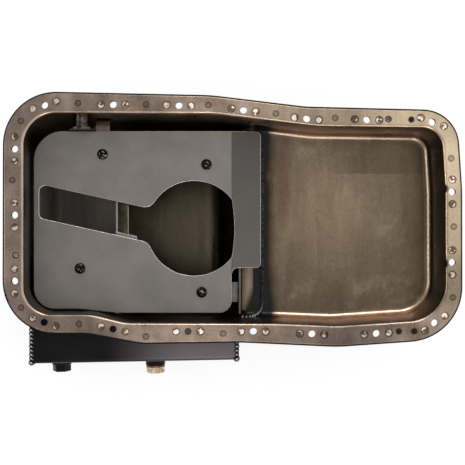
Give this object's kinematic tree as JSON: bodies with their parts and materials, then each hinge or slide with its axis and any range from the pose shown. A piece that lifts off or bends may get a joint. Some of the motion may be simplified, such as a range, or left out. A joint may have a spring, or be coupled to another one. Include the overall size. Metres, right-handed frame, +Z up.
{
  "type": "engine oil pan",
  "caption": "Pressed and welded steel oil pan with a bolted gasket rail, a shallow bay, a deep sump with a side box, a slotted windage tray and trap-door baffles.",
  "frame": {"origin": "in the gasket face, at the middle of the pan's length", "axes": "+X along the engine towards the shallow end, +Y across it away from the kick-out, +Z up to the block"},
  "size_m": [0.4428, 0.287, 0.1416],
  "materials": {
    "bare_steel": "worn, brownish",
    "grey_steel": "matt brushed",
    "black_paint": "satin",
    "weld_black": "satin over weld ripples",
    "black_screw": "black oxide",
    "zinc_steel": "zinc plated",
    "copper": "copper",
    "plug_brass": "yellow zinc"
  },
  "bodies": {
    "pan": {"pan_shell": "bare_steel", "rail_stiffener": "black_paint", "kickout_channel": "black_paint", "kickout_left_end": "black_paint", "kickout_right_end": "black_paint", "kickout_gusset": "black_paint", "left_end_weld": "weld_black", "right_end_weld": "weld_black", "ramp_weld": "weld_black", "windage_tray": "grey_steel", "tray_screws": "black_screw", "tray_nuts": "zinc_steel", "rear_left_bracket": "grey_steel", "rear_right_bracket": "grey_steel", "front_left_bracket": "grey_steel", "front_right_bracket": "grey_steel", "left_baffle": "grey_steel", "right_baffle": "grey_steel", "rear_baffle": "grey_steel", "left_hinge_pin": "zinc_steel", "right_hinge_pin": "zinc_steel", "drain_bung": "black_paint", "drain_washer": "copper", "drain_plug": "plug_brass", "level_bung": "black_paint", "level_plug": "black_paint", "wall_fitting": "zinc_steel", "fitting_disc": "zinc_steel", "tray_rest": "grey_steel", "gasket_pins": "grey_steel"},
    "left_door": {"left_trap_door": "zinc_steel"},
    "right_door": {"right_trap_door": "zinc_steel"}
  },
  "joints": [
    {"name": "left_door_hinge", "type": "hinge", "parent": "pan", "child": "left_door", "pos_m": [-0.113, -0.052, -0.084], "axis": [0, -1, 0], "range_deg": [0, 70]},
    {"name": "right_door_hinge", "type": "hinge", "parent": "pan", "child": "right_door", "pos_m": [0.0049, -0.012, -0.042], "axis": [0, 1, 0], "range_deg": [0, 70]}
  ]
}
